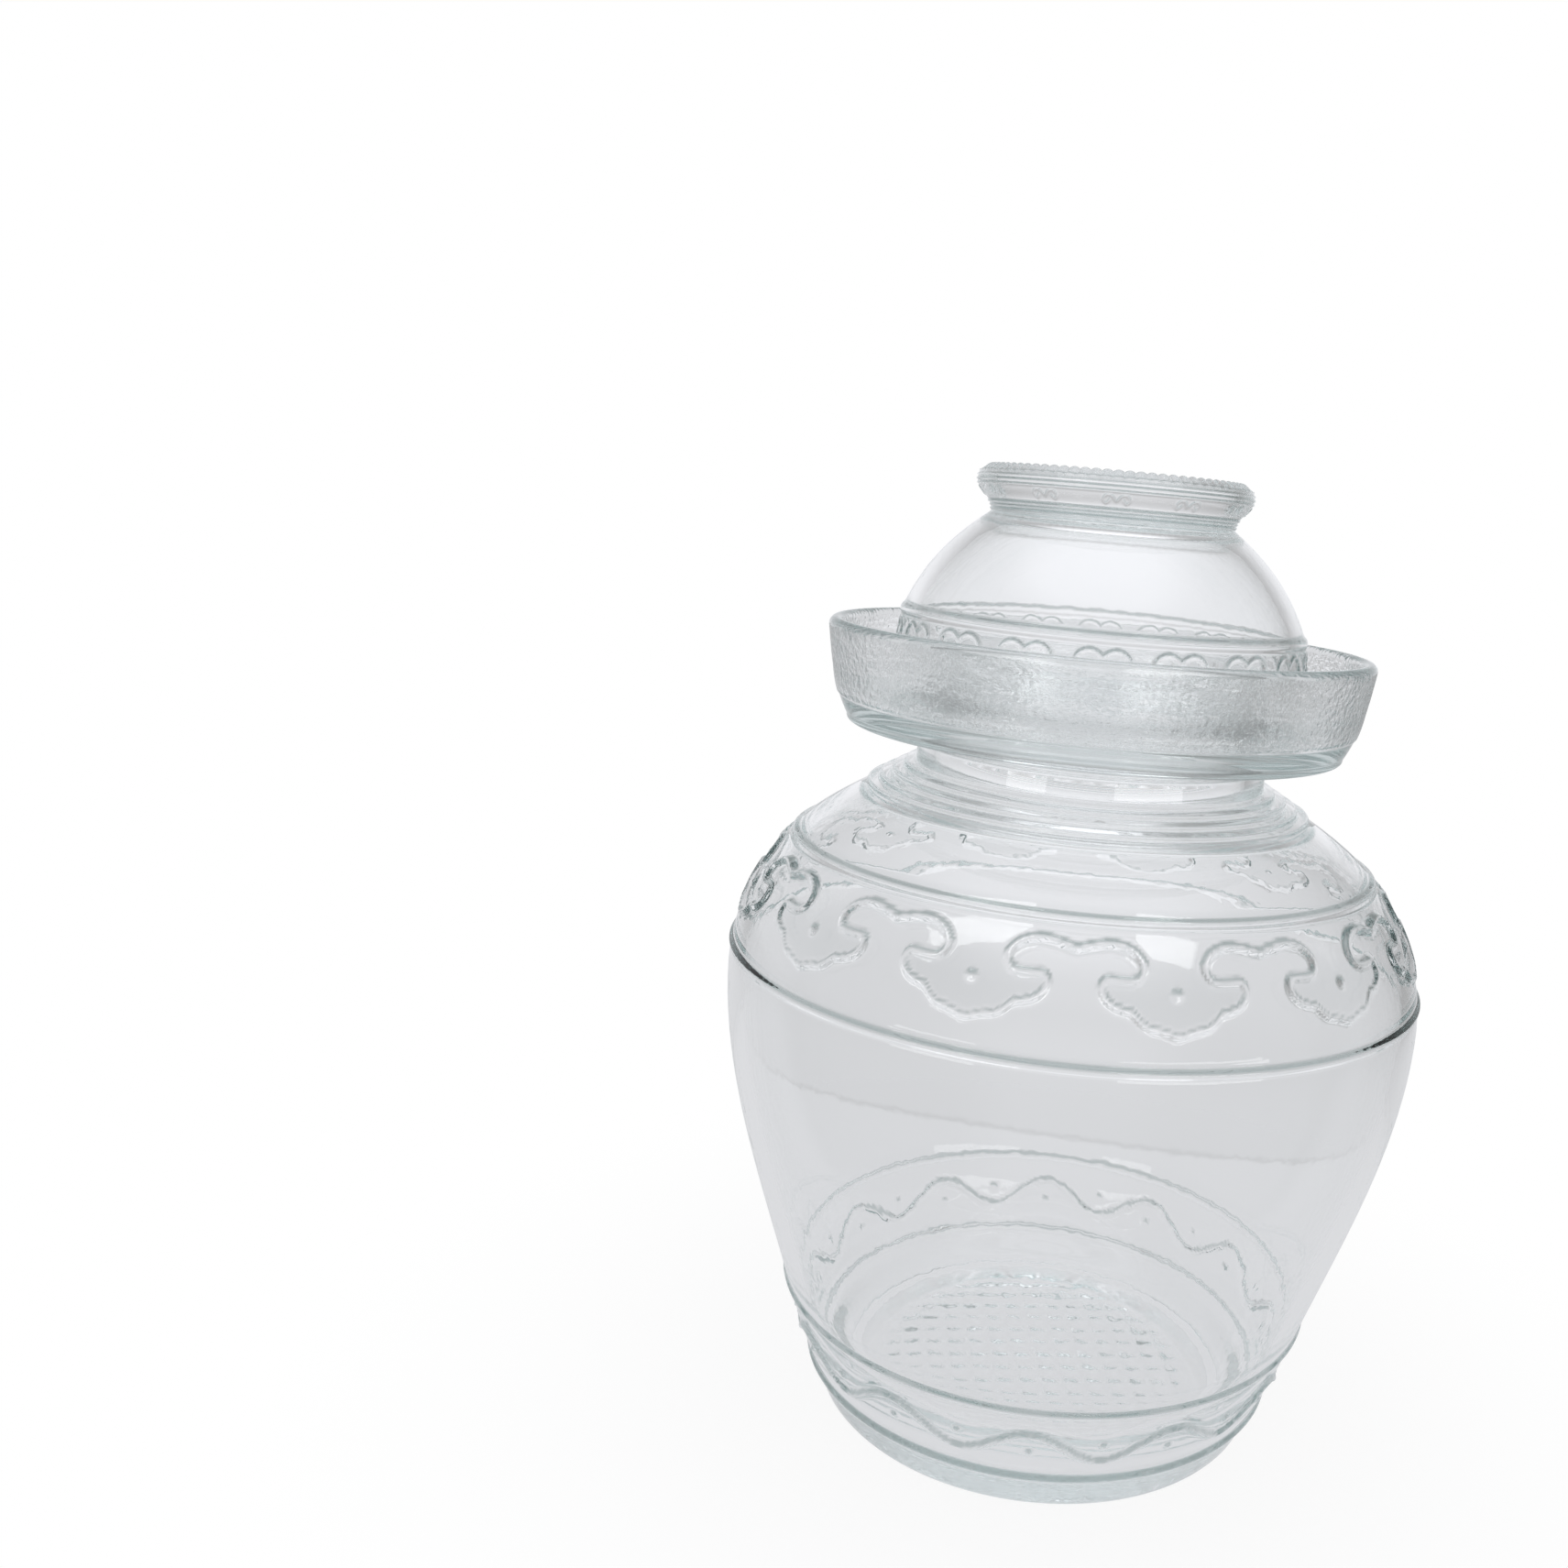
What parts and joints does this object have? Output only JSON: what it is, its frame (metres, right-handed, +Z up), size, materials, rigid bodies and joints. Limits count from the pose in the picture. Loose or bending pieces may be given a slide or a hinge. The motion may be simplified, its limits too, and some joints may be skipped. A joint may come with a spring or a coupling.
{
  "type": "pickle jar",
  "caption": "Clear moulded glass pickle jar with belts, a raised cloud line and a wave line round its body, a water moat ring on the neck and a loose bowl-shaped lid whose rim stands in the moat.",
  "frame": {"origin": "centre of the jar's foot ring, on the surface that it stands on", "axes": "+Z up along the jar's axis of revolution, -Y towards the front in the picture"},
  "size_m": [0.1906, 0.1906, 0.2597],
  "materials": {
    "body_glass": "clear moulded glass, smooth, faint green grey in its edges",
    "clear_seal": "clear cured sealant",
    "moat_glass": "clear pressed glass with a hammered outer skin, green grey in its edges",
    "lid_glass": "clear pressed glass, smooth, faint green grey in its edges"
  },
  "bodies": {
    "jar": {"jar_body": "body_glass", "moat_seal": "clear_seal", "moat_ring": "moat_glass"},
    "lid": {"lid": "lid_glass"}
  },
  "joints": [
    {"name": "lid_lift", "type": "slide", "parent": "jar", "child": "lid", "axis": [0, 0, 1], "range_m": [0, 0.06]}
  ]
}
